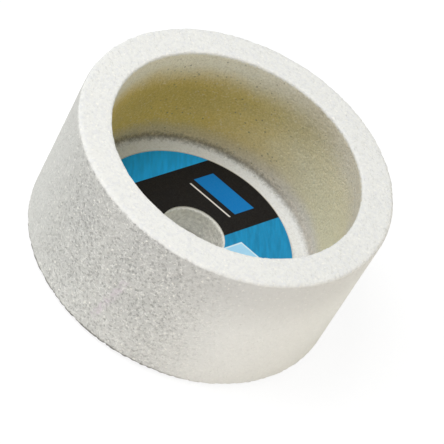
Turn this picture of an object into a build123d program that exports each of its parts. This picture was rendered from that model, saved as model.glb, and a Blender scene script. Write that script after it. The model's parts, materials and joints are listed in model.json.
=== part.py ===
from build123d import *
import os

# A straight cup grinding wheel, standing on its back with the open cup upwards.
# It is a fired ring of white abrasive grain with a bored back, and it carries a paper
# blotter on each side of the back, where the two clamping flanges of a grinder press.
# The frame: origin at the centre of the lower blotter's underside, +Z along the bore
# towards the open rim. All sizes are in millimetres.

# Abrasive body
WHEEL_DIAMETER = 100.0
WHEEL_THICKNESS = 48.3  # from the back face to the rim's grinding face
RIM_WIDTH = 10.5  # wall of the cup, across the grinding face
BACK_THICKNESS = 9.5  # floor of the cup
BORE_DIAMETER = 20.0

# Edges of the body
RIM_OUTER_ROUND = 1.0
RIM_INNER_ROUND = 0.8
FLOOR_CORNER_ROUND = 2.5  # where the inner wall meets the floor
BACK_EDGE_ROUND = 1.0
BORE_CHAMFER = 0.5

# Blotters
BLOTTER_THICKNESS = 0.5
BLOTTER_HOLE_MARGIN = 0.6  # bare abrasive left round the bore
BLOTTER_WALL_MARGIN = 6.1  # bare abrasive left between the blotter and the cup's wall

# Sizes that follow
WHEEL_RADIUS = WHEEL_DIAMETER / 2
RECESS_RADIUS = WHEEL_RADIUS - RIM_WIDTH
BORE_RADIUS = BORE_DIAMETER / 2
BLOTTER_RADIUS = RECESS_RADIUS - BLOTTER_WALL_MARGIN
BLOTTER_HOLE_RADIUS = BORE_RADIUS + BLOTTER_HOLE_MARGIN
BACK_Z = BLOTTER_THICKNESS
FLOOR_Z = BACK_Z + BACK_THICKNESS
RIM_Z = BACK_Z + WHEEL_THICKNESS


def corner(section, radius, height):
    """The vertex of the half section that lies at this radius and height."""
    place = Vector(radius, 0, height)
    return min(section.vertices(), key=lambda vertex: (Vector(vertex) - place).length)


def cup_wheel():
    """The pressed and fired body, turned from one half section about the bore."""
    outline = Polyline(
        (BORE_RADIUS, 0, BACK_Z),
        (WHEEL_RADIUS, 0, BACK_Z),
        (WHEEL_RADIUS, 0, RIM_Z),
        (RECESS_RADIUS, 0, RIM_Z),
        (RECESS_RADIUS, 0, FLOOR_Z),
        (BORE_RADIUS, 0, FLOOR_Z),
        close=True,
    )
    section = make_face(outline.edges())
    for radius, height, size in (
        (WHEEL_RADIUS, BACK_Z, BACK_EDGE_ROUND),
        (WHEEL_RADIUS, RIM_Z, RIM_OUTER_ROUND),
        (RECESS_RADIUS, RIM_Z, RIM_INNER_ROUND),
        (RECESS_RADIUS, FLOOR_Z, FLOOR_CORNER_ROUND),
    ):
        section = fillet(corner(section, radius, height), size)
    for height in (BACK_Z, FLOOR_Z):
        section = chamfer(corner(section, BORE_RADIUS, height), BORE_CHAMFER)
    return revolve(section, Axis.Z, 360)


def blotter(seat_z):
    """A round paper washer, punched a little wider than the bore, lying on seat_z."""
    with BuildPart() as part:
        with BuildSketch(Plane.XY.offset(seat_z)):
            Circle(BLOTTER_RADIUS)
            Circle(BLOTTER_HOLE_RADIUS, mode=Mode.SUBTRACT)
        extrude(amount=BLOTTER_THICKNESS)
    return part.part


PIECES = {
    "cup_wheel": cup_wheel(),
    "front_blotter": blotter(FLOOR_Z),
    "rear_blotter": blotter(BACK_Z - BLOTTER_THICKNESS),
}

os.makedirs("parts", exist_ok=True)
for name, piece in PIECES.items():
    export_step(piece, f"parts/{name}.step")
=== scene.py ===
import json
import math
from collections import namedtuple

import bpy
import numpy as np
from mathutils import Matrix, Vector


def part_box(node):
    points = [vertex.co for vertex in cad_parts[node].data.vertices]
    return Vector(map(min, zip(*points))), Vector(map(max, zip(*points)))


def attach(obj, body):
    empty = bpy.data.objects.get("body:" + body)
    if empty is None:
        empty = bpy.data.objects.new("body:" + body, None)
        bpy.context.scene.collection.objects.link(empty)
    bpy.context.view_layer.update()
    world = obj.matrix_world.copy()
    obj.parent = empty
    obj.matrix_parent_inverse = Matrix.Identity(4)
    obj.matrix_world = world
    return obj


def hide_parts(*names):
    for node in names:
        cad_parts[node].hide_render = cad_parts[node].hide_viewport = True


# Looks of a straight cup grinding wheel: white fired abrasive grain, open at the top, with a
# printed paper blotter on the floor of the cup and a plain one under the back.
# Lengths are in metres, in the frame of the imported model: +Z runs up the bore. The materials
# work in millimetres, and their own values are given in those.
# A side of the wheel is given as the azimuth of its centre, and as the two cosines of the angle
# from there between which it begins and is full. A pair named NOISE gives the two values of a
# noise between which a mark comes or goes.

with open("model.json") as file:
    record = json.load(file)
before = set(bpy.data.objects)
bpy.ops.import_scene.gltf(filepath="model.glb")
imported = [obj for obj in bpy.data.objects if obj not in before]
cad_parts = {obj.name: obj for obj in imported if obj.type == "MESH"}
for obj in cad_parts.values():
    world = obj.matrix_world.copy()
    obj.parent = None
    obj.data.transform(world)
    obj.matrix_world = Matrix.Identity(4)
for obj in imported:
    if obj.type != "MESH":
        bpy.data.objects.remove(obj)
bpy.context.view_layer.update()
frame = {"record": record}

MM = 0.001

# The wheel, read from the frame
WHEEL_LOW, WHEEL_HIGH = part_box("cup_wheel")
FRONT_LOW, FRONT_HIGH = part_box("front_blotter")
REAR_LOW, REAR_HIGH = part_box("rear_blotter")
WHEEL_RADIUS = WHEEL_HIGH.x
RIM_Z = WHEEL_HIGH.z
BACK_Z = WHEEL_LOW.z
FLOOR_Z = FRONT_LOW.z
BLOTTER_RADIUS = FRONT_HIGH.x
BORE = next(mount for mount in frame["record"]["mounts"] if mount["name"] == "bore")
BORE_RADIUS = BORE["dims"]["r_mm"] * MM

# The wheel's section, as in the solids
RIM_WIDTH = 10.5 * MM
RECESS_RADIUS = WHEEL_RADIUS - RIM_WIDTH
RIM_OUTER_ROUND = 1.0 * MM
RIM_INNER_ROUND = 0.8 * MM
FLOOR_CORNER_ROUND = 2.5 * MM
BACK_EDGE_ROUND = 1.0 * MM
BORE_CHAMFER = 0.5 * MM
BLOTTER_HOLE_RADIUS = BORE_RADIUS + 0.6 * MM

# The same radii and heights in millimetres, for the materials
OUTER_R, INNER_R, BORE_R, PAPER_R = (
    radius / MM for radius in (WHEEL_RADIUS, RECESS_RADIUS, BORE_RADIUS, BLOTTER_RADIUS))
RIM_AT, FLOOR_AT, BACK_AT = (height / MM for height in (RIM_Z, FLOOR_Z, BACK_Z))

# The mesh of the abrasive body
RING_SEGMENTS = 500
OPEN_STEP = 0.62 * MM  # spacing of the rows where the surface shows
HIDDEN_STEP = 4.0 * MM  # spacing under the blotters
BACK_STEP = 0.9 * MM
ROUND_STEPS, CORNER_STEPS = 3, 5

# Grain relief. It only cuts into the body, so the wheel keeps its outline.
GRAIN = 0.95 * MM
GRAIN_SEED = 11
RELIEF_DEPTH = 0.13 * MM
RELIEF_LEAST = 0.1  # the share of that depth that closed grain still has
SET_BACK_SHARE = 0.7  # of the relief: whole grains set back; the gaps between them make the rest
SWELL = 6.0 * MM
SWELL_SEED = 31
SWELL_DEPTH = 0.06 * MM

# Wear of the rim's two edges and the back's edge, in patches, deepest on the rough side
EDGE_WEAR = 0.34 * MM
EDGE_WEAR_ROUGH = 0.55 * MM
EDGE_WEAR_INNER = 0.18 * MM
EDGE_REACH = 1.6 * MM
EDGE_PATCH = 2.2 * GRAIN
EDGE_SEED = 41
EDGE_SPARED = 0.35  # the edge is whole where the noise is below this

# How open the grain is: 1 is the rough side of the outer wall, and the side next to it is much
# smoother. The rim is worn smoothest above the rough side.
OPEN_RIM = 0.2
OPEN_RIM_WORN = 0.12
OPEN_INSIDE = 0.22
OPEN_BACK = 0.7
OPEN_BORE = 0.15
# The bore's grain is more open on one side, which darkens that side: painted shade, as well as deeper
# relief.
OPEN_BORE_SHADED = 0.8
OPEN_HIDDEN_SIDE = 0.45
OPEN_SMOOTH_SIDE = 0.15
SMOOTH_AZIMUTH = math.radians(-35)
SMOOTH_COS = (0.6, 0.95)
ROUGH_AZIMUTH = math.radians(-100)
ROUGH_COS = (0.6, 0.95)
# The side of the bore that is painted darker
BORE_SHADED_AZIMUTH = math.radians(20)
BORE_SHADED_COS = (-0.3, 0.9)
RIM_STARTS, RIM_FULL = 1.0 * MM, 0.3 * MM  # how far below its face the rim's look begins and is full
SIDE_STARTS, SIDE_FULL = 0.6 * MM, 0.2 * MM  # the same for the outer wall, inwards from its face
SEAM = 0.1 * MM  # reach of the back's and the bore's look

# The grain's colour and fine relief, in millimetres
GRAIN_SIZE = 1.25
GRAIN_BEND = 1.2
BENDS_PER_MM = 1.1
RIDGE_WIDTH = 0.055  # in units of the grain's noise
PIT_SIZE, PIT_RADIUS, PIT_SHARE = 1.05, 0.34, 0.8
FINE_SIZE = 0.3
# The darkness of the pits and hollows is partly painted shade.
HOLLOW_DARK, PIT_DARK, FINE_DARK = 0.36, 0.26, 0.2
PIT_DEPTH = 0.35  # as a share of the grain's bump
CLOSED_BUMP = 0.2  # the share of the bump that closed grain still has
GRAIN_BUMP, FINE_BUMP = 0.65 * MM, 0.1 * MM
GRAIN_ROUGHNESS, GRAIN_SPECULAR = 0.82, 0.3
SPOT_SOFT = 0.4  # how soft the edge of a pit or a fleck is, as a share of its radius
SPOT_FAINT = 0.02  # how near the limit of the share a spot has to be to show faintly

# Wide warm patches, and the mottle of the rim and the bore, in millimetres
WARM_SIZE = 16.0
WARM_NOISE = (0.35, 0.65)
WARM_STRENGTH = 0.22
WARM_ON_RIM = 0.3  # as a share of that strength
MOTTLE_SIZE = 1.2
RIM_MOTTLE_NOISE = (0.45, 0.66)
RIM_MOTTLE = 0.85
BORE_MOTTLE_NOISE = (0.36, 0.64)
BORE_MOTTLE = 0.3

# Dark and pale flecks, in millimetres. The dark ones come in crowds; the pale ones are pale grains with
# painted glints.
FLECK_SIZE, FLECK_RADIUS = 1.7, 0.3
DARK_FLECK_SHARE, PALE_FLECK_SHARE = 0.6, 0.8
CROWD_SIZE = 9.0
CROWD_NOISE = (0.42, 0.62)
CROWD_LEAST, CROWD_MOST = 0.1, 0.6
DARK_FLECKS_ELSEWHERE = 0.12  # off the inner wall
FLECKED_COS = (0.5, 1.0)
FLECKED_LEAST, FLECKED_MOST = 0.5, 1.3
PALE_FLECK_SHIFT = (31, 17, 5)  # takes the pale flecks away from the dark ones
PALE_FLECKS_CLOSED, PALE_FLECKS_OPEN = 0.25, 0.9  # in closed and in fully open grain
PALE_FLECKS_INSIDE = 0.5  # as a share of that, on the inner wall
PALE_FLECKS_ON_RIM = 0.6  # what the rim adds

# The outer wall: a collar of painted shade below the rim, a side of painted shade and a foot of painted
# bounce light, in millimetres
COLLAR_REACH, COLLAR_FULL = 26.0, 4.0
COLLAR_STRENGTH = 0.26
COLLAR_SIDE_STRENGTH = 0.28
COLLAR_AZIMUTH = math.radians(-52)
COLLAR_COS = (0.75, 1.0)
# Painted shade on the side of the outer wall that faces the key lamp
SHADED_SIDE_AZIMUTH = math.radians(-170)
SHADED_SIDE_COS = (0.5, 0.95)
SHADED_SIDE_STRENGTH = 0.22
# Painted bounce light towards the back of the outer wall
LIT_FOOT_AZIMUTH = math.radians(-110)
LIT_FOOT_COS = (0.75, 0.95)
LIT_FOOT_REACH = 24.0
LIT_FOOT_STRENGTH = 0.22

# A pink scuff that runs up the outer wall, as (azimuth, height) of its two ends, in millimetres
SCUFF_LOW = (math.radians(-104.7), 8.1)
SCUFF_HIGH = (math.radians(-100), 29.0)
SCUFF_WIDTH = 1.1
SCUFF_SOFT = 0.6  # how soft its edge is, as a share of the width
SCUFF_WAVER, SCUFF_WAVER_SIZE = 2.4, 2.5
SCUFF_BREAK_SIZE = 1.6
SCUFF_BREAK_NOISE = (0.35, 0.6)
SCUFF_LEAST, SCUFF_MOST = 0.1, 0.5
SCUFF_LOW_FADE, SCUFF_HIGH_FADE = 2.0, 3.0

# The dark line along the worn edge of the back, painted contact shade, in millimetres
BACK_EDGE_SHADE_AZIMUTH = math.radians(-118)
BACK_EDGE_SHADE_COS = (0.5, 0.9)
BACK_EDGE_SHADE_LEAST, BACK_EDGE_SHADE_MOST = 0.05, 0.85
BACK_EDGE_SHADE_RAGGED, BACK_EDGE_SHADE_RAGGED_SIZE = 1.0, 1.3
BACK_EDGE_SHADE_FULL, BACK_EDGE_SHADE_ENDS = 0.9, 1.5  # above the back

# The stained inner wall, with a band of painted shadow and a foot darkened by painted shade and some
# dust. Depths are in millimetres below the rim.
STAIN_AZIMUTH = math.radians(137)
STAIN_COS = (0.2, 1.05)
STAIN_BLOTCH = 8.0
STAIN_RAGGED_SIDE, STAIN_RAGGED_DEPTH = 0.3, 4.0
DEEP_STARTS, DEEP_FULL = 4.0, 16.0
# The foot is darker: painted shade, with some dust
FOOT_STARTS, FOOT_FULL = 29.0, 37.0
# The band is painted shadow, lower on the stained side
BAND_AZIMUTH = math.radians(110)
BAND_COS = (0.3, 0.85)
BAND_DEPTH, BAND_FALL, BAND_HALF = 10.0, 7.0, 13.5
SHADOW_BAND_STRENGTH = 0.49
LIP_RAGGED, LIP_RAGGED_SIZE = 1.6, 0.9  # where the wall ends below the rim
SPECK_SIZE = 0.6
WALL_SPECK_NOISE, WALL_SPECKS = (0.3, 0.6), 0.4
PALE_SPECK_NOISE, PALE_SPECKS = (0.58, 0.75), 0.2

# The floor of the cup, and the dark line in its corner, painted shade with some dust, in millimetres
# from the wall and the floor
FLOOR_STRENGTH = 0.8
FLOOR_GREY_AZIMUTH = math.radians(30)
FLOOR_GREY_COS = (0.85, 1.0)
FLOOR_GREY_STRENGTH = 0.22
FLOOR_SPECK_NOISE, FLOOR_SPECKS = (0.35, 0.6), 0.35
CORNER_LINE_IN, CORNER_LINE_UP = 0.6, 0.9
CORNER_LINE_RAGGED, CORNER_LINE_RAGGED_SIZE = 4.0, 1.0
CORNER_LINE_FINE = 1.6  # how far the fine grain moves its edge
CORNER_LINE_FULL, CORNER_LINE_ENDS = 0.5, 3.0
# The painted shade is deepest on one side
CORNER_SHADE_AZIMUTH = math.radians(130)
CORNER_SHADE_COS = (-0.1, 0.8)
CORNER_SHADE_LEAST, CORNER_SHADE_MOST = 0.4, 0.75

# The blotters' meshes
BLOTTER_SEGMENTS = 240
BLOTTER_ROWS = 26
BLOTTER_EDGE_ROUND = 0.12 * MM
BLOTTER_SAG = 0.05 * MM
BLOTTER_SAG_SIZE = 7 * MM

# The print on the front blotter, in millimetres from the bore's axis. A band of black crosses
# the teal ground. Its fields are bounded by lines along the band and lines along the print's rows.
BAND_TURN = math.radians(59)
ROW_TURN = math.radians(-14.5)
BLACK_ACROSS = (-4.4, 23.1)
PANEL_ACROSS, PANEL_ALONG = (1.5, 17.9), (18.2, 25.9)
RULE_ACROSS, RULE_ALONG = (1.2, 17.0), (15.6, 16.15)
PALE_ACROSS, PALE_ALONG = (-24.0, -8.4), (-9.0, 10.7)
EVERYWHERE = (-100.0, 100.0)
PALE_BORDER = 0.5
PRINT_EDGE = 0.12
PRINT_MARGIN = 0.4  # unprinted paper round the outside
PRINT_STARTS, PRINT_FULL = 0.2, 0.12  # how far below the face the print begins and is full

# The paper, in millimetres
FIBRE_SIZE = 0.45
PAPER_RUN = math.radians(112)  # the way the paper's fibres lie
STREAK_SIZE = 1.1
STREAK_SQUEEZE = 0.14  # the place along the run is scaled by this, which draws the streaks out
STREAK_NOISE = (0.3, 0.7)
STREAK_BUMP, FIBRE_BUMP = 0.04 * MM, 0.05 * MM
INK_GAP_NOISE, INK_GAPS = (0.3, 0.8), 0.02  # how much bare paper shows through the ink
PAPER_ROUGH_NOISE, PAPER_ROUGHNESS = (0.2, 0.8), (0.5, 0.7)
PAPER_SPECULAR = 0.12

# Colours of the abrasive
GRAIN_PALE = (0.95, 0.945, 0.90, 1)
GRAIN_DARK = (0.30, 0.30, 0.28, 1)
GRAIN_WARM = (0.86, 0.85, 0.79, 1)
FLECK_DARK = (0.26, 0.23, 0.15, 1)
# Pale grains, with painted glints
PALE_FLECK_AND_GLINT = (0.99, 0.97, 0.90, 1)
RIM_TONE = (0.84, 0.84, 0.83, 1)
# Painted shade below the rim of the outer wall
SHADED_COLLAR = (0.62, 0.61, 0.58, 1)
SCUFF = (0.80, 0.70, 0.77, 1)
# Painted contact shade along the back's edge
BACK_EDGE_SHADE = (0.22, 0.21, 0.19, 1)
# On the inner wall the two foot colours are painted shade with some dust, and the band's colour is
# painted shadow
WALL_TOP = (0.76, 0.695, 0.56, 1)
WALL_DEEP = (0.85, 0.77, 0.535, 1)
WALL_FOOT_DUST_AND_SHADE = (0.715, 0.675, 0.61, 1)
WALL_SPECK = (0.66, 0.64, 0.60, 1)
STAIN_TOP = (0.96, 0.92, 0.74, 1)
STAIN_DEEP = (0.87, 0.655, 0.18, 1)
STAIN_FOOT_DUST_AND_SHADE = (0.72, 0.62, 0.385, 1)
PAINTED_SHADOW_BAND = (0.46, 0.38, 0.11, 1)
CUP_FLOOR = (0.90, 0.92, 0.95, 1)
CUP_FLOOR_GREY = (0.66, 0.67, 0.67, 1)
# Painted shade in the corner of the cup, with some dust
CORNER_DUST_AND_SHADE = (0.13, 0.125, 0.11, 1)

# Colours of the print and the paper. The teal is brighter beyond the black band: painted light where the
# cup's wall shades the print.
INK_TEAL = (0.010, 0.300, 0.600, 1)
INK_TEAL_DEEP = (0.008, 0.235, 0.470, 1)
INK_TEAL_FAR_LIT = (0.014, 0.450, 0.930, 1)
INK_TEAL_FAR_DEEP_LIT = (0.012, 0.370, 0.790, 1)
INK_BLACK = (0.0065, 0.0055, 0.0055, 1)
INK_BLUE = (0.002, 0.200, 0.560, 1)
INK_PALE = (0.400, 0.730, 0.990, 1)
INK_PALE_EDGE = (0.700, 0.880, 0.990, 1)
PAPER_BARE = (0.800, 0.790, 0.750, 1)
PAPER_SHADE = (0.640, 0.620, 0.560, 1)

# The camera: the photograph looks down into the cup with the picture turned about its axis
ELEVATION = math.radians(43.37)
ROLL = math.radians(30.35)
DISTANCE = 674.4 * MM  # from the lens to the plane through the rim's centre
AIM_RIGHT = 0.0077  # where the rim's centre lies, as a share of the distance
AIM_DOWN = -0.0307
LENS = 185.9
SENSOR = 36.0

# The light and the floor
WORLD_LIGHT = 0.295
WORLD_TINT = (0.86, 0.96, 1.0, 1)
LAMP_SIZE = 0.8
FLOOR_HALF = 3.0
FLOOR_GAP = 0.1 * MM  # keeps the floor clear of the lower blotter's face
FLOOR_BOUNCE = (0.95, 0.95, 0.93, 1)
FLOOR_SHADED = (0.22, 0.22, 0.22, 1)  # the part of the seen floor that takes the shadow
FLOOR_GLOW = 0.85


def lattice_random(cells, seed):
    """A repeatable value from 0 to 1 for each whole-number cell, by a common hash of the lattice."""
    cells = cells.astype(np.int64)
    value = cells[..., 0] * 73856093 ^ cells[..., 1] * 19349663 ^ cells[..., 2] * 83492791
    value = (value + seed * 2654435761) & 0xFFFFFFFF
    for _ in range(2):
        value = ((value >> 16) ^ value) * 0x45D9F3B & 0xFFFFFFFF
    value = (value >> 16) ^ value
    return value / 0xFFFFFFFF


def smooth_noise(points, size, seed):
    """Soft value noise from 0 to 1, with bumps about one size across."""
    scaled = points / size
    base = np.floor(scaled)
    part = scaled - base
    part = part * part * (3 - 2 * part)
    total = np.zeros(len(points))
    for corner in np.ndindex(2, 2, 2):
        weight = np.prod(np.where(corner, part, 1 - part), axis=1)
        total += weight * lattice_random(base + corner, seed)
    return total


def grain_cells(points, size, seed):
    """For each point: the nearest grain's own value, and how far inside the grain it lies."""
    base = np.floor(points / size)
    nearest = np.full(len(points), np.inf)
    second = np.full(len(points), np.inf)
    value = np.zeros(len(points))
    for shift in np.ndindex(3, 3, 3):
        cell = base + np.array(shift) - 1
        offset = np.stack([lattice_random(cell, seed + axis) for axis in (1, 2, 3)], axis=1)
        distance = np.linalg.norm((cell + offset) * size - points, axis=1)
        closer = distance < nearest
        second = np.where(closer, nearest, np.minimum(second, distance))
        value = np.where(closer, lattice_random(cell, seed + 4), value)
        nearest = np.where(closer, distance, nearest)
    return value, np.clip((second - nearest) / size, 0, 1)


def soft_step(value, low, high):
    """0 below low, 1 above high, and a smooth rise between them."""
    share = np.clip((value - low) / (high - low), 0, 1)
    return share * share * (3 - 2 * share)


def blend(start, end, share):
    """From start to end as share goes from 0 to 1."""
    return start + (end - start) * share


def round_place(points):
    """The radius, azimuth and height of each point."""
    return np.hypot(points[:, 0], points[:, 1]), np.arctan2(points[:, 1], points[:, 0]), points[:, 2]


def side_amount(azimuth, centre, cosines):
    """1 on the side at the centre's azimuth, 0 away from it; the cosines say how wide it is."""
    return soft_step(np.cos(azimuth - centre), *cosines)


def line(start, end, step):
    """Points from start up to, but not with, end, about one step apart."""
    start, end = np.array(start), np.array(end)
    count = max(1, round(np.linalg.norm(end - start) / step))
    return [start + (end - start) * i / count for i in range(count)]


def arc(centre, radius, start_angle, end_angle, steps):
    """Points along an arc, up to, but not with, its end. Angles are in degrees."""
    angles = np.radians(np.linspace(start_angle, end_angle, steps, endpoint=False))
    return [np.array(centre) + radius * np.array([math.cos(a), math.sin(a)]) for a in angles]


def turned_mesh(name, section, segments):
    """A closed section turned round Z into a mesh of quads."""
    rows = len(section)
    angle = np.linspace(0, 2 * math.pi, segments, endpoint=False)
    radius, height = section[:, 0][:, None], section[:, 1][:, None]
    x, y, z = np.broadcast_arrays(radius * np.cos(angle), radius * np.sin(angle), height)
    points = np.stack([x, y, z], axis=-1)
    row, column = np.meshgrid(np.arange(rows), np.arange(segments), indexing="ij")
    next_row, next_column = (row + 1) % rows, (column + 1) % segments
    quads = np.stack(
        [row * segments + column, row * segments + next_column,
         next_row * segments + next_column, next_row * segments + column], axis=-1)
    mesh = bpy.data.meshes.new(name)
    mesh.from_pydata(points.reshape(-1, 3).tolist(), [], quads.reshape(-1, 4).tolist())
    mesh.update()
    return mesh


def mesh_arrays(mesh):
    """The points and the normals of a mesh, one row for each point."""
    points = np.empty(len(mesh.vertices) * 3)
    normals = np.empty(len(mesh.vertices) * 3)
    mesh.vertices.foreach_get("co", points)
    mesh.vertices.foreach_get("normal", normals)
    return points.reshape(-1, 3), normals.reshape(-1, 3)


def set_points(mesh, points):
    """Moves a mesh's points and shades it smooth."""
    mesh.vertices.foreach_set("co", points.ravel())
    mesh.polygons.foreach_set("use_smooth", [True] * len(mesh.polygons))
    mesh.update()


def add_object(name, mesh, body="root"):
    """Links a mesh to the scene, as a piece that rides on a body if one is named."""
    made = bpy.data.objects.new(name, mesh)
    bpy.context.scene.collection.objects.link(made)
    if body:
        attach(made, body)
    return made


def wheel_section():
    """The closed half section of the wheel as (radius, height) points, from the back's edge up."""
    outer, inner, bore = WHEEL_RADIUS, RECESS_RADIUS, BORE_RADIUS
    back_round, rim_round, lip_round = BACK_EDGE_ROUND, RIM_OUTER_ROUND, RIM_INNER_ROUND
    corner, chamfer = FLOOR_CORNER_ROUND, BORE_CHAMFER
    covered = BLOTTER_RADIUS - HIDDEN_STEP / 2
    shown_again = BLOTTER_HOLE_RADIUS + OPEN_STEP
    points = arc((outer - back_round, BACK_Z + back_round), back_round, -90, 0, ROUND_STEPS)
    points += line((outer, BACK_Z + back_round), (outer, RIM_Z - rim_round), OPEN_STEP)
    points += arc((outer - rim_round, RIM_Z - rim_round), rim_round, 0, 90, ROUND_STEPS)
    points += line((outer - rim_round, RIM_Z), (inner + lip_round, RIM_Z), OPEN_STEP)
    points += arc((inner + lip_round, RIM_Z - lip_round), lip_round, 90, 180, ROUND_STEPS)
    points += line((inner, RIM_Z - lip_round), (inner, FLOOR_Z + corner), OPEN_STEP)
    points += arc((inner - corner, FLOOR_Z + corner), corner, 0, -90, CORNER_STEPS)
    points += line((inner - corner, FLOOR_Z), (covered, FLOOR_Z), OPEN_STEP)
    points += line((covered, FLOOR_Z), (shown_again, FLOOR_Z), HIDDEN_STEP)
    points += line((shown_again, FLOOR_Z), (bore + chamfer, FLOOR_Z), OPEN_STEP / 2)
    points += line((bore + chamfer, FLOOR_Z), (bore, FLOOR_Z - chamfer), OPEN_STEP)
    points += line((bore, FLOOR_Z - chamfer), (bore, BACK_Z + chamfer), BACK_STEP)
    points += line((bore, BACK_Z + chamfer), (bore + chamfer, BACK_Z), OPEN_STEP)
    points += line((bore + chamfer, BACK_Z), (covered, BACK_Z), HIDDEN_STEP)
    points += line((covered, BACK_Z), (outer - back_round, BACK_Z), BACK_STEP)
    return np.array(points)


def grain_openness(points):
    """How open the grain is at each point of the abrasive body."""
    radius, azimuth, z = round_place(points)
    rough_side = side_amount(azimuth, ROUGH_AZIMUTH, ROUGH_COS)
    wall = blend(OPEN_HIDDEN_SIDE, 1, rough_side)
    wall = blend(wall, OPEN_SMOOTH_SIDE, side_amount(azimuth, SMOOTH_AZIMUTH, SMOOTH_COS))
    outside = soft_step(radius, WHEEL_RADIUS - SIDE_STARTS, WHEEL_RADIUS - SIDE_FULL)
    openness = blend(OPEN_INSIDE, wall, outside)
    top = soft_step(z, RIM_Z - RIM_STARTS, RIM_Z - RIM_FULL)
    openness = blend(openness, blend(OPEN_RIM, OPEN_RIM_WORN, rough_side), top)
    openness = np.where(z < BACK_Z + SEAM, OPEN_BACK, openness)
    bore = blend(OPEN_BORE, OPEN_BORE_SHADED, side_amount(azimuth, BORE_SHADED_AZIMUTH, BORE_SHADED_COS))
    return np.where(radius < BORE_RADIUS + SEAM, bore, openness)


def edge_nearness(points):
    """1 at the two edges of the rim and the edge of the back, falling to 0 a little way off."""
    radius, _, z = round_place(points)
    nearness = np.zeros(len(points))
    for edge_radius, edge_z in ((WHEEL_RADIUS, RIM_Z), (RECESS_RADIUS, RIM_Z), (WHEEL_RADIUS, BACK_Z)):
        away = np.hypot(radius - edge_radius, z - edge_z)
        nearness = np.maximum(nearness, np.clip(1 - away / EDGE_REACH, 0, 1))
    return nearness


def edge_wear(points):
    """How deep each point is worn back near an edge."""
    radius, azimuth, _ = round_place(points)
    worn = smooth_noise(points, EDGE_PATCH, EDGE_SEED) > EDGE_SPARED
    outer_wear = blend(EDGE_WEAR, EDGE_WEAR_ROUGH, side_amount(azimuth, ROUGH_AZIMUTH, ROUGH_COS))
    outside = radius > (WHEEL_RADIUS + RECESS_RADIUS) / 2
    return edge_nearness(points) * worn * np.where(outside, outer_wear, EDGE_WEAR_INNER)


def make_wheel():
    """The abrasive body, with its grain cut into the surface."""
    mesh = turned_mesh("abrasive_body", wheel_section(), RING_SEGMENTS)
    points, normals = mesh_arrays(mesh)
    value, inside = grain_cells(points, GRAIN, GRAIN_SEED)
    openness = grain_openness(points)
    depth = RELIEF_DEPTH * blend(RELIEF_LEAST, 1, openness) * blend(1 - inside, value, SET_BACK_SHARE)
    depth += SWELL_DEPTH * smooth_noise(points, SWELL, SWELL_SEED) + edge_wear(points) * value
    set_points(mesh, points - normals * depth[:, None])
    mesh.attributes.new("openness", "FLOAT", "POINT").data.foreach_set("value", openness)
    return add_object("abrasive_body", mesh)


Spot = namedtuple("Spot", "place radius azimuth z")
Grain = namedtuple("Grain", "bent wave pits fine openness")


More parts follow.
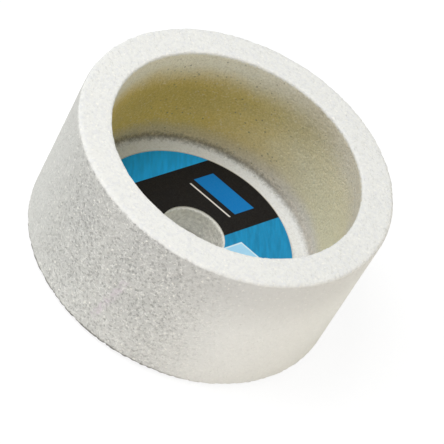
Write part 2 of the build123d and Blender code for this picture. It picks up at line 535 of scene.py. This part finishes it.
class Graph:
    """A material's nodes. Each call takes numbers, colours or other nodes' outputs."""

    def __init__(self, name):
        self.material = bpy.data.materials.new(name)
        self.material.use_nodes = True
        self.nodes = self.material.node_tree.nodes
        self.links = self.material.node_tree.links
        self.shader = self.nodes["Principled BSDF"]

    def put(self, socket, value):
        """Links an output to a socket, or sets the socket to a number or a colour."""
        if isinstance(value, bpy.types.NodeSocket):
            self.links.new(value, socket)
        elif hasattr(socket.default_value, "__len__") and not hasattr(value, "__len__"):
            socket.default_value = (value,) * len(socket.default_value)
        else:
            socket.default_value = value

    def add(self, kind, inputs, settings=None, output=0):
        """A new node of that kind, by one of its outputs."""
        made = self.nodes.new("ShaderNode" + kind)
        for name, value in (settings or {}).items():
            setattr(made, name, value)
        for key, value in inputs.items():
            self.put(made.inputs[key], value)
        return made.outputs[output]

    def math(self, operation, *values):
        return self.add("Math", dict(enumerate(values)), {"operation": operation})

    def product(self, first, *others):
        for other in others:
            first = self.math("MULTIPLY", first, other)
        return first

    def vector(self, operation, *values, output=0):
        return self.add("VectorMath", dict(enumerate(values)), {"operation": operation}, output)

    def step(self, value, low, high, to_low=0.0, to_high=1.0):
        """Smooth passage from to_low, where value is low, to to_high, where value is high."""
        inputs = {"Value": value, "From Min": low, "From Max": high, "To Min": to_low, "To Max": to_high}
        return self.add("MapRange", inputs, {"interpolation_type": "SMOOTHSTEP"})

    def fall(self, value, low, high):
        """1 where value is low, 0 where it is high."""
        return self.step(value, low, high, 1.0, 0.0)

    def within(self, value, low, high, soft):
        """1 between low and high, with a soft edge that lies above each of them."""
        return self.product(self.step(value, low, low + soft), self.fall(value, high, high + soft))

    def between(self, amount, at_zero, at_one):
        """Smooth passage from one number to another as amount goes from 0 to 1."""
        return self.step(amount, 0.0, 1.0, at_zero, at_one)

    def noise(self, place, size, detail=2.0, roughness=0.5):
        """Soft noise about 0.5, with bumps about one size across, in millimetres."""
        inputs = {"Vector": place, "Scale": 1 / size, "Detail": detail, "Roughness": roughness}
        return self.add("TexNoise", inputs)

    def ragged(self, value, noise, reach):
        """The value, moved up or down by as much as half of reach as the noise goes."""
        return self.math("ADD", value, self.math("MULTIPLY_ADD", noise, reach, -reach / 2))

    def mix(self, factor, first, second, blend_type="MIX"):
        """Colour from first to second as factor goes from 0 to 1."""
        made = self.nodes.new("ShaderNodeMix")
        made.data_type = "RGBA"
        made.blend_type = blend_type
        self.put(made.inputs[0], factor)
        self.put(made.inputs[6], first)
        self.put(made.inputs[7], second)
        return made.outputs[2]

    def spots(self, place, size, radius, share):
        """1 in round spots of that radius, in that share of cells of that size, in millimetres."""
        cells = self.add("TexVoronoi", {"Vector": place, "Scale": 1 / size}).node.outputs
        reach = radius / size
        near = self.fall(cells["Distance"], (1 - SPOT_SOFT) * reach, (1 + SPOT_SOFT) * reach)
        chance = self.add("SeparateColor", {0: cells["Color"]})
        chosen = self.step(chance, 1 - share - SPOT_FAINT, 1 - share + SPOT_FAINT)
        return self.product(near, chosen)

    def bump(self, height, depth, below=None):
        """Relief of that depth in metres, on top of another bump if one is given."""
        inputs = {"Height": height, "Distance": depth}
        if below is not None:
            inputs["Normal"] = below
        return self.add("Bump", inputs)

    def place(self):
        """Where the point lies on the part, in millimetres."""
        inside = self.add("TexCoord", {}, output="Object")
        return self.vector("MULTIPLY", inside, (1 / MM,) * 3)

    def spot(self, place):
        """The place again, with its radius and height in millimetres and its azimuth."""
        x, y, z = self.add("SeparateXYZ", {0: place}).node.outputs
        radius = self.vector("LENGTH", self.add("CombineXYZ", {0: x, 1: y}), output="Value")
        return Spot(place, radius, self.math("ARCTAN2", y, x), z)

    def side_cosine(self, spot, centre):
        """1 on the side at the centre's azimuth, -1 on the opposite one."""
        return self.math("COSINE", self.math("SUBTRACT", spot.azimuth, centre))

    def facing(self, spot, centre, cosines, elsewhere=0.0, there=1.0):
        """Smooth passage to another number on the side at the centre's azimuth."""
        return self.step(self.side_cosine(spot, centre), *cosines, elsewhere, there)

    def finish(self, colour, roughness, specular, normal):
        """Sets the surface and returns the material."""
        self.put(self.shader.inputs["Base Color"], colour)
        self.put(self.shader.inputs["Roughness"], roughness)
        self.put(self.shader.inputs["Specular IOR Level"], specular)
        self.put(self.shader.inputs["Normal"], normal)
        return self.material


def fired_grain(graph, place):
    """The grain's pattern: the bent place it is looked up at, its noise, its pits and its openness."""
    inputs = {"Vector": place, "Scale": BENDS_PER_MM, "Detail": 1.0}
    bends = graph.add("TexNoise", inputs, output="Color")
    bent = graph.vector("MULTIPLY_ADD", bends, (GRAIN_BEND,) * 3, place)
    wave = graph.noise(bent, GRAIN_SIZE, detail=1.0)
    pits = graph.spots(bent, PIT_SIZE, PIT_RADIUS, PIT_SHARE)
    fine = graph.noise(place, FINE_SIZE, detail=3.0, roughness=0.6)
    openness = graph.add("Attribute", {}, {"attribute_name": "openness"}, "Fac")
    return Grain(bent, wave, pits, fine, openness)


def grain_darkness(graph, grain):
    """Open grain is dark in its pits and in the hollows between its winding ridges: partly the grain's
    own dark pores, partly painted shade in them.
    """
    off_ridge = graph.math("ABSOLUTE", graph.math("SUBTRACT", grain.wave, 0.5))
    ridge = graph.fall(off_ridge, 0.0, RIDGE_WIDTH)
    dark = graph.math("MULTIPLY_ADD", grain.fine, FINE_DARK, graph.between(ridge, HOLLOW_DARK, 0.0))
    dark = graph.math("MULTIPLY_ADD", grain.pits, PIT_DARK, dark)
    return graph.product(dark, grain.openness)


def grain_relief(graph, grain):
    """The grain's bump, shallower where it is closed, with a finer one on top."""
    relief = graph.math("MULTIPLY_ADD", grain.pits, -PIT_DEPTH, grain.wave)
    share = graph.math("MULTIPLY_ADD", grain.openness, 1 - CLOSED_BUMP, CLOSED_BUMP)
    shape = graph.bump(graph.product(relief, share), GRAIN_BUMP)
    return graph.bump(grain.fine, FINE_BUMP, shape)


def rim_mask(graph, spot):
    """1 on the rim, 0 on the rest of the body."""
    return graph.step(spot.z, RIM_AT - RIM_STARTS / MM, RIM_AT - RIM_FULL / MM)


def outer_wall_mask(graph, spot):
    """1 on the outer wall, 0 on the rest of the body."""
    outside = graph.step(spot.radius, OUTER_R - 1.0, OUTER_R - 0.5)
    return graph.product(outside, graph.fall(spot.z, RIM_AT - 1.2, RIM_AT - 0.5))


def inner_wall_mask(graph, spot):
    """1 on the inner wall of the cup, 0 on the rest of the body."""
    inside = graph.fall(spot.radius, INNER_R + 0.5, INNER_R + 0.9)
    above_floor = graph.step(spot.z, FLOOR_AT - 0.1, FLOOR_AT + 1.4)
    height = graph.ragged(spot.z, graph.noise(spot.place, LIP_RAGGED_SIZE), LIP_RAGGED)
    return graph.product(inside, above_floor, graph.fall(height, RIM_AT - 1.4, RIM_AT - 0.4))


def cup_floor_mask(graph, spot):
    """1 on the floor of the cup outside the blotter, 0 on the rest of the body."""
    ring = graph.within(spot.radius, PAPER_R - 2.0, INNER_R, 1.0)
    return graph.product(ring, graph.within(spot.z, FLOOR_AT - 1.5, FLOOR_AT + 0.5, 1.0))


def bore_wall_mask(graph, spot):
    """1 on the wall of the bore, falling to 0 over its chamfers."""
    return graph.fall(spot.radius, BORE_R + 0.2, BORE_R + 0.5)


def warm_patch_amount(graph, spot, rim):
    """Wide patches of the body are a little warmer, least of all on the rim."""
    patches = graph.step(graph.noise(spot.place, WARM_SIZE), *WARM_NOISE, 0.0, WARM_STRENGTH)
    return graph.product(patches, graph.between(rim, 1.0, WARM_ON_RIM))


def shaded_collar_amount(graph, spot):
    """Painted shade: the outer wall is a little darker for a stretch below the rim, most of all on one
    side.
    """
    most = COLLAR_STRENGTH + COLLAR_SIDE_STRENGTH
    strength = graph.facing(spot, COLLAR_AZIMUTH, COLLAR_COS, COLLAR_STRENGTH, most)
    return graph.product(strength, graph.step(spot.z, RIM_AT - COLLAR_REACH, RIM_AT - COLLAR_FULL))


def shaded_side_amount(graph, spot):
    """Painted shade: one side of the outer wall is a little greyer."""
    return graph.facing(spot, SHADED_SIDE_AZIMUTH, SHADED_SIDE_COS, 0.0, SHADED_SIDE_STRENGTH)


def lit_foot_amount(graph, spot):
    """Painted bounce light: the rough side of the outer wall is a little paler towards the back."""
    side = graph.facing(spot, LIT_FOOT_AZIMUTH, LIT_FOOT_COS, 0.0, LIT_FOOT_STRENGTH)
    return graph.product(side, graph.fall(spot.z, BACK_AT, BACK_AT + LIT_FOOT_REACH))


def scuff_amount(graph, spot):
    """A faint scuff on the outer wall, strongest along its line, which wavers and breaks up."""
    (low_azimuth, low_z), (high_azimuth, high_z) = SCUFF_LOW, SCUFF_HIGH
    slope = (high_azimuth - low_azimuth) / (high_z - low_z)
    on_line = graph.math("MULTIPLY_ADD", spot.z, slope, low_azimuth - slope * low_z)
    aside = graph.product(graph.math("SUBTRACT", spot.azimuth, on_line), OUTER_R)
    aside = graph.ragged(aside, graph.noise(spot.place, SCUFF_WAVER_SIZE, detail=3.0), SCUFF_WAVER)
    edge = ((1 - SCUFF_SOFT) * SCUFF_WIDTH, (1 + SCUFF_SOFT) * SCUFF_WIDTH)
    on_scuff = graph.fall(graph.math("ABSOLUTE", aside), *edge)
    patches = graph.noise(spot.place, SCUFF_BREAK_SIZE)
    strength = graph.step(patches, *SCUFF_BREAK_NOISE, SCUFF_LEAST, SCUFF_MOST)
    above_low = graph.step(spot.z, low_z - SCUFF_LOW_FADE, low_z + SCUFF_LOW_FADE)
    below_high = graph.fall(spot.z, high_z - SCUFF_HIGH_FADE, high_z)
    return graph.product(on_scuff, strength, above_low, below_high)


def cup_floor_colour(graph, spot, speck):
    """Near white with grey specks, and greyer on one side."""
    side = graph.facing(spot, FLOOR_GREY_AZIMUTH, FLOOR_GREY_COS, 0.0, FLOOR_GREY_STRENGTH)
    specks = graph.step(speck, *FLOOR_SPECK_NOISE, FLOOR_SPECKS, 0.0)
    return graph.mix(graph.math("ADD", side, specks), CUP_FLOOR, CUP_FLOOR_GREY)


def inner_wall_colour(graph, spot, speck):
    """Beige all round; on one side cream at the rim and gold below, with a band of painted shadow
    between, and darker at the foot with painted shade and some dust.
    """
    blotch = graph.noise(spot.place, STAIN_BLOTCH, detail=3.0)
    side = graph.ragged(graph.side_cosine(spot, STAIN_AZIMUTH), blotch, STAIN_RAGGED_SIDE)
    side = graph.step(side, *STAIN_COS)
    down = graph.ragged(graph.math("SUBTRACT", RIM_AT, spot.z), blotch, STAIN_RAGGED_DEPTH)
    top = graph.mix(side, WALL_TOP, STAIN_TOP)
    deep = graph.mix(side, WALL_DEEP, STAIN_DEEP)
    foot = graph.mix(side, WALL_FOOT_DUST_AND_SHADE, STAIN_FOOT_DUST_AND_SHADE)
    paint = graph.mix(graph.step(down, DEEP_STARTS, DEEP_FULL), top, deep)
    # A band of painted shadow, lower on the stained side
    centre = graph.math("MULTIPLY_ADD", side, BAND_FALL, BAND_DEPTH)
    away = graph.math("ABSOLUTE", graph.math("SUBTRACT", down, centre))
    band = graph.step(away, 0.0, BAND_HALF, SHADOW_BAND_STRENGTH, 0.0)
    paint = graph.mix(graph.product(band, graph.facing(spot, BAND_AZIMUTH, BAND_COS)), paint, PAINTED_SHADOW_BAND)
    # Darker towards the floor: painted shade, with some dust
    paint = graph.mix(graph.step(down, FOOT_STARTS, FOOT_FULL), paint, foot)
    dark_specks = graph.step(speck, *WALL_SPECK_NOISE, WALL_SPECKS, 0.0)
    paint = graph.mix(dark_specks, paint, WALL_SPECK, "MULTIPLY")
    pale_specks = graph.step(speck, *PALE_SPECK_NOISE, 0.0, PALE_SPECKS)
    return graph.mix(pale_specks, paint, GRAIN_PALE)


def dark_fleck_amount(graph, spot, inner_wall):
    """Dark flecks come in crowds, most of them on the stained side of the inner wall."""
    flecks = graph.spots(spot.place, FLECK_SIZE, FLECK_RADIUS, DARK_FLECK_SHARE)
    crowds = graph.noise(spot.place, CROWD_SIZE, detail=1.0)
    crowds = graph.step(crowds, *CROWD_NOISE, CROWD_LEAST, CROWD_MOST)
    wall = graph.between(inner_wall, DARK_FLECKS_ELSEWHERE, 1.0)
    side = graph.facing(spot, BAND_AZIMUTH, FLECKED_COS, FLECKED_LEAST, FLECKED_MOST)
    return graph.product(flecks, crowds, wall, side)


def pale_fleck_and_glint_amount(graph, grain, inner_wall, rim):
    """Pale flecks, pale grains with painted glints on them, show in open grain and on the rim, and least
    of all on the inner wall.
    """
    place = graph.vector("ADD", grain.bent, PALE_FLECK_SHIFT)
    flecks = graph.spots(place, FLECK_SIZE, FLECK_RADIUS, PALE_FLECK_SHARE)
    more = PALE_FLECKS_OPEN - PALE_FLECKS_CLOSED
    strength = graph.math("MULTIPLY_ADD", grain.openness, more, PALE_FLECKS_CLOSED)
    strength = graph.product(strength, graph.between(inner_wall, 1.0, PALE_FLECKS_INSIDE))
    strength = graph.math("ADD", strength, graph.between(rim, 0.0, PALE_FLECKS_ON_RIM))
    return graph.product(flecks, strength)


def corner_dust_and_shade_amount(graph, spot, grain):
    """A dark line where the inner wall meets the floor of the cup: painted shade in the corner, with
    some dust.
    """
    inwards = graph.math("SUBTRACT", spot.radius, INNER_R - CORNER_LINE_IN)
    upwards = graph.math("SUBTRACT", spot.z, FLOOR_AT + CORNER_LINE_UP)
    away = graph.vector("LENGTH", graph.add("CombineXYZ", {0: inwards, 1: upwards}), output="Value")
    patches = graph.noise(spot.place, CORNER_LINE_RAGGED_SIZE, detail=3.0, roughness=0.65)
    away = graph.ragged(away, patches, CORNER_LINE_RAGGED)
    away = graph.math("MULTIPLY_ADD", grain.fine, CORNER_LINE_FINE, away)
    side = graph.facing(spot, CORNER_SHADE_AZIMUTH, CORNER_SHADE_COS, CORNER_SHADE_LEAST, CORNER_SHADE_MOST)
    return graph.product(graph.fall(away, CORNER_LINE_FULL, CORNER_LINE_ENDS), side)


def back_edge_shade_amount(graph, spot):
    """A dark line of painted contact shade along the worn edge of the back, most of it on one side."""
    height = graph.ragged(spot.z, graph.noise(spot.place, BACK_EDGE_SHADE_RAGGED_SIZE), BACK_EDGE_SHADE_RAGGED)
    low = graph.fall(height, BACK_AT + BACK_EDGE_SHADE_FULL, BACK_AT + BACK_EDGE_SHADE_ENDS)
    outside = graph.step(spot.radius, OUTER_R - 1.2, OUTER_R - 0.8)
    side = graph.facing(spot, BACK_EDGE_SHADE_AZIMUTH, BACK_EDGE_SHADE_COS, BACK_EDGE_SHADE_LEAST, BACK_EDGE_SHADE_MOST)
    return graph.product(low, outside, side)


def abrasive_material():
    """White fired grain with flecks and wear, and the cup's stained wall."""
    graph = Graph("abrasive")
    place = graph.place()
    spot, grain = graph.spot(place), fired_grain(graph, place)
    speck = graph.noise(place, SPECK_SIZE, detail=1.0)
    mottle = graph.noise(place, MOTTLE_SIZE, detail=3.0, roughness=0.6)
    rim_mottle = graph.step(mottle, *RIM_MOTTLE_NOISE, 0.0, RIM_MOTTLE)
    bore_mottle = graph.step(mottle, *BORE_MOTTLE_NOISE, 0.0, BORE_MOTTLE)
    rim, inner_wall = rim_mask(graph, spot), inner_wall_mask(graph, spot)
    outer_wall, bore_wall = outer_wall_mask(graph, spot), bore_wall_mask(graph, spot)
    cup_floor = graph.product(cup_floor_mask(graph, spot), FLOOR_STRENGTH)
    paint = GRAIN_PALE
    for amount, over in (
        (grain_darkness(graph, grain), GRAIN_DARK),
        (warm_patch_amount(graph, spot, rim), GRAIN_WARM),
        (graph.product(rim, rim_mottle), RIM_TONE),
        (graph.product(bore_wall, bore_mottle), GRAIN_DARK),
        (graph.product(outer_wall, shaded_side_amount(graph, spot)), GRAIN_DARK),
        (graph.product(outer_wall, lit_foot_amount(graph, spot)), GRAIN_PALE),
        (graph.product(outer_wall, shaded_collar_amount(graph, spot)), SHADED_COLLAR),
        (graph.product(outer_wall, scuff_amount(graph, spot)), SCUFF),
        (cup_floor, cup_floor_colour(graph, spot, speck)),
        (inner_wall, inner_wall_colour(graph, spot, speck)),
        (dark_fleck_amount(graph, spot, inner_wall), FLECK_DARK),
        (pale_fleck_and_glint_amount(graph, grain, inner_wall, rim), PALE_FLECK_AND_GLINT),
        (corner_dust_and_shade_amount(graph, spot, grain), CORNER_DUST_AND_SHADE),
        (back_edge_shade_amount(graph, spot), BACK_EDGE_SHADE),
    ):
        paint = graph.mix(amount, paint, over)
    return graph.finish(paint, GRAIN_ROUGHNESS, GRAIN_SPECULAR, grain_relief(graph, grain))


def dress_wheel():
    wheel = make_wheel()
    wheel.data.materials.append(abrasive_material())
    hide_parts("cup_wheel")


def blotter_section(low, high):
    """The closed half section of a blotter that fills the box between two corners."""
    inner, outer, edge = BLOTTER_HOLE_RADIUS, high.x, BLOTTER_EDGE_ROUND
    step = (outer - inner) / BLOTTER_ROWS
    points = line((inner, low.z), (outer, low.z), step)
    points += line((outer, low.z), (outer, high.z - edge), step)
    points += arc((outer - edge, high.z - edge), edge, 0, 90, 2)
    points += line((outer - edge, high.z), (inner + edge, high.z), step)
    points += arc((inner + edge, high.z - edge), edge, 90, 180, 2)
    points += line((inner, high.z - edge), (inner, low.z), step)
    return np.array(points)


def make_blotter(name, low, high, seed):
    """A punched paper washer whose face sags a little here and there."""
    mesh = turned_mesh(name, blotter_section(low, high), BLOTTER_SEGMENTS)
    points, _ = mesh_arrays(mesh)
    share = (points[:, 2] - low.z) / (high.z - low.z)
    points[:, 2] -= BLOTTER_SAG * share * smooth_noise(points * (1, 1, 0), BLOTTER_SAG_SIZE, seed)
    set_points(mesh, points)
    return add_object(name, mesh)


def paper_streaks(graph, place):
    """Noise drawn out along the run of the paper's fibres."""
    turn = (math.cos(PAPER_RUN), math.sin(PAPER_RUN))
    along = graph.vector("DOT_PRODUCT", place, (turn[0], turn[1], 0), output="Value")
    across = graph.vector("DOT_PRODUCT", place, (-turn[1], turn[0], 0), output="Value")
    drawn = graph.add("CombineXYZ", {0: across, 1: graph.product(along, STREAK_SQUEEZE)})
    return graph.noise(drawn, STREAK_SIZE)


def print_field(graph, across, along, across_range, along_range):
    """1 inside a slanted field of the print, 0 outside, with a crisp but not razor edge."""
    sides = []
    for value, (low, high) in ((across, across_range), (along, along_range)):
        sides.append(graph.within(value, low - PRINT_EDGE, high - PRINT_EDGE, 2 * PRINT_EDGE))
    return graph.product(*sides)


def inset(span):
    """A span of the print, made shorter by the pale panel's border at both ends."""
    return span[0] + PALE_BORDER, span[1] - PALE_BORDER


def printed_colour(graph, place):
    """Teal ground, black band, a blue panel, a pale panel with a lighter border and a thin rule."""
    across, along = (
        graph.vector("DOT_PRODUCT", place, (-math.sin(turn), math.cos(turn), 0), output="Value")
        for turn in (BAND_TURN, ROW_TURN))
    streaks = graph.step(paper_streaks(graph, place), *STREAK_NOISE)
    near = graph.mix(streaks, INK_TEAL_DEEP, INK_TEAL)
    # Painted light: the teal beyond the black band is lighter, where the wall shades the print
    far = graph.mix(streaks, INK_TEAL_FAR_DEEP_LIT, INK_TEAL_FAR_LIT)
    ink = graph.mix(graph.step(across, *BLACK_ACROSS), near, far)
    for across_range, along_range, paint in (
        (BLACK_ACROSS, EVERYWHERE, INK_BLACK),
        (PANEL_ACROSS, PANEL_ALONG, INK_BLUE),
        (RULE_ACROSS, RULE_ALONG, PAPER_BARE),
        (PALE_ACROSS, PALE_ALONG, INK_PALE_EDGE),
        (inset(PALE_ACROSS), inset(PALE_ALONG), INK_PALE),
    ):
        ink = graph.mix(print_field(graph, across, along, across_range, along_range), ink, paint)
    return ink


def printed_face_mask(graph, spot):
    """1 on the printed face of the front blotter, 0 on its cut edges and its bare margin."""
    face = FRONT_HIGH.z / MM
    margin = PAPER_R - PRINT_MARGIN
    top = graph.step(spot.z, face - PRINT_STARTS, face - PRINT_FULL)
    return graph.product(top, graph.fall(spot.radius, margin - PRINT_EDGE, margin + PRINT_EDGE))


def paper_material(name, printed):
    """Blotting paper: felted fibre, printed on its face if it is the front one."""
    graph = Graph(name)
    place = graph.place()
    fibre = graph.noise(place, FIBRE_SIZE, detail=4.0, roughness=0.65)
    paint = graph.mix(fibre, PAPER_SHADE, PAPER_BARE)
    if printed:
        gaps = graph.step(fibre, *INK_GAP_NOISE, 0.0, INK_GAPS)
        inked = graph.mix(gaps, printed_colour(graph, place), PAPER_BARE)
        paint = graph.mix(printed_face_mask(graph, graph.spot(place)), paint, inked)
    roughness = graph.step(fibre, *PAPER_ROUGH_NOISE, *PAPER_ROUGHNESS)
    shape = graph.bump(paper_streaks(graph, place), STREAK_BUMP)
    return graph.finish(paint, roughness, PAPER_SPECULAR, graph.bump(fibre, FIBRE_BUMP, shape))


def dress_blotters():
    for name, node, corners, slot, printed, seed in (
        ("printed_blotter", "front_blotter", (FRONT_LOW, FRONT_HIGH), "printed_paper", True, 51),
        ("plain_blotter", "rear_blotter", (REAR_LOW, REAR_HIGH), "plain_paper", False, 61),
    ):
        blotter = make_blotter(name, *corners, seed)
        blotter.data.materials.append(paper_material(name, printed))
        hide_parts(node)


def seen_directly(nodes, links):
    """1 for rays from the camera, from a mirror or through glass, 0 for the light that bounces."""
    path = nodes.new("ShaderNodeLightPath")
    seen = path.outputs["Is Camera Ray"]
    for name in ("Is Glossy Ray", "Is Transmission Ray"):
        either = nodes.new("ShaderNodeMath")
        either.operation = "MAXIMUM"
        links.new(seen, either.inputs[0])
        links.new(path.outputs[name], either.inputs[1])
        seen = either.outputs[0]
    return seen


def floor_material():
    """White with a faint shadow where it is seen, pale where light bounces off it."""
    material = bpy.data.materials.new("floor")
    material.use_nodes = True
    nodes, links = material.node_tree.nodes, material.node_tree.links
    nodes.clear()
    bounced = nodes.new("ShaderNodeBsdfDiffuse")
    bounced.inputs["Color"].default_value = FLOOR_BOUNCE
    shaded = nodes.new("ShaderNodeBsdfDiffuse")
    shaded.inputs["Color"].default_value = FLOOR_SHADED
    glow = nodes.new("ShaderNodeEmission")
    glow.inputs["Strength"].default_value = FLOOR_GLOW
    white = nodes.new("ShaderNodeAddShader")
    links.new(shaded.outputs[0], white.inputs[0])
    links.new(glow.outputs[0], white.inputs[1])
    choice = nodes.new("ShaderNodeMixShader")
    links.new(seen_directly(nodes, links), choice.inputs["Fac"])
    links.new(bounced.outputs[0], choice.inputs[1])
    links.new(white.outputs[0], choice.inputs[2])
    output = nodes.new("ShaderNodeOutputMaterial")
    links.new(choice.outputs[0], output.inputs["Surface"])
    return material


def make_floor():
    """A wide floor that the wheel stands on."""
    half, z = FLOOR_HALF, -FLOOR_GAP
    mesh = bpy.data.meshes.new("floor")
    corners = [(-half, -half, z), (half, -half, z), (half, half, z), (-half, half, z)]
    mesh.from_pydata(corners, [], [(0, 1, 2, 3)])
    mesh.materials.append(floor_material())
    add_object("floor", mesh, body=None)


def make_world():
    """A dim even light from all round, which looks white where it is seen."""
    world = bpy.data.worlds.new("studio")
    bpy.context.scene.world = world
    world.use_nodes = True
    nodes, links = world.node_tree.nodes, world.node_tree.links
    light = nodes["Background"]
    light.inputs["Color"].default_value = WORLD_TINT
    light.inputs["Strength"].default_value = WORLD_LIGHT
    white = nodes.new("ShaderNodeBackground")
    white.inputs["Color"].default_value = (1, 1, 1, 1)
    white.inputs["Strength"].default_value = 1.0
    choice = nodes.new("ShaderNodeMixShader")
    links.new(seen_directly(nodes, links), choice.inputs["Fac"])
    links.new(light.outputs[0], choice.inputs[1])
    links.new(white.outputs[0], choice.inputs[2])
    links.new(choice.outputs[0], nodes["World Output"].inputs["Surface"])


def make_lamp(name, azimuth, elevation, power, tint):
    """A square soft lamp that looks at the wheel from that side, one metre off."""
    data = bpy.data.lights.new(name, "AREA")
    data.shape = "SQUARE"
    data.size = LAMP_SIZE
    data.energy = power
    data.color = tint
    lamp = bpy.data.objects.new(name, data)
    turn, lift = math.radians(azimuth), math.radians(elevation)
    away = Vector((math.cos(turn) * math.cos(lift), math.sin(turn) * math.cos(lift), math.sin(lift)))
    lamp.location = away + Vector((0, 0, RIM_Z / 2))
    lamp.rotation_euler = away.to_track_quat("Z", "Y").to_euler()
    bpy.context.scene.collection.objects.link(lamp)


def make_camera():
    """The camera stands where the photograph was taken from, turned about its own axis."""
    rim_centre = Vector((0, 0, RIM_Z))
    forward = Vector((0, math.cos(ELEVATION), -math.sin(ELEVATION)))
    right = Vector((1, 0, 0))
    down = forward.cross(right)
    turned_right = right * math.cos(ROLL) - down * math.sin(ROLL)
    turned_down = right * math.sin(ROLL) + down * math.cos(ROLL)
    data = bpy.data.cameras.new("camera")
    data.lens = LENS
    data.sensor_width = SENSOR
    camera = bpy.data.objects.new("camera", data)
    axes = Matrix((turned_right, -turned_down, -forward)).transposed()
    camera.matrix_world = axes.to_4x4()
    offset = turned_right * AIM_RIGHT + turned_down * AIM_DOWN + forward
    camera.location = rim_centre - offset * DISTANCE
    bpy.context.scene.collection.objects.link(camera)
    bpy.context.scene.camera = camera


dress_wheel()
dress_blotters()
make_floor()
make_world()
make_lamp("key", azimuth=190, elevation=60, power=8.2, tint=(1, 0.98, 0.98))
make_lamp("front_fill", azimuth=-60, elevation=12, power=3.0, tint=(1, 0.87, 0.84))
make_lamp("right_fill", azimuth=10, elevation=12, power=2.25, tint=(1, 0.86, 0.6))
make_camera()

bpy.context.scene.view_settings.view_transform = "Standard"
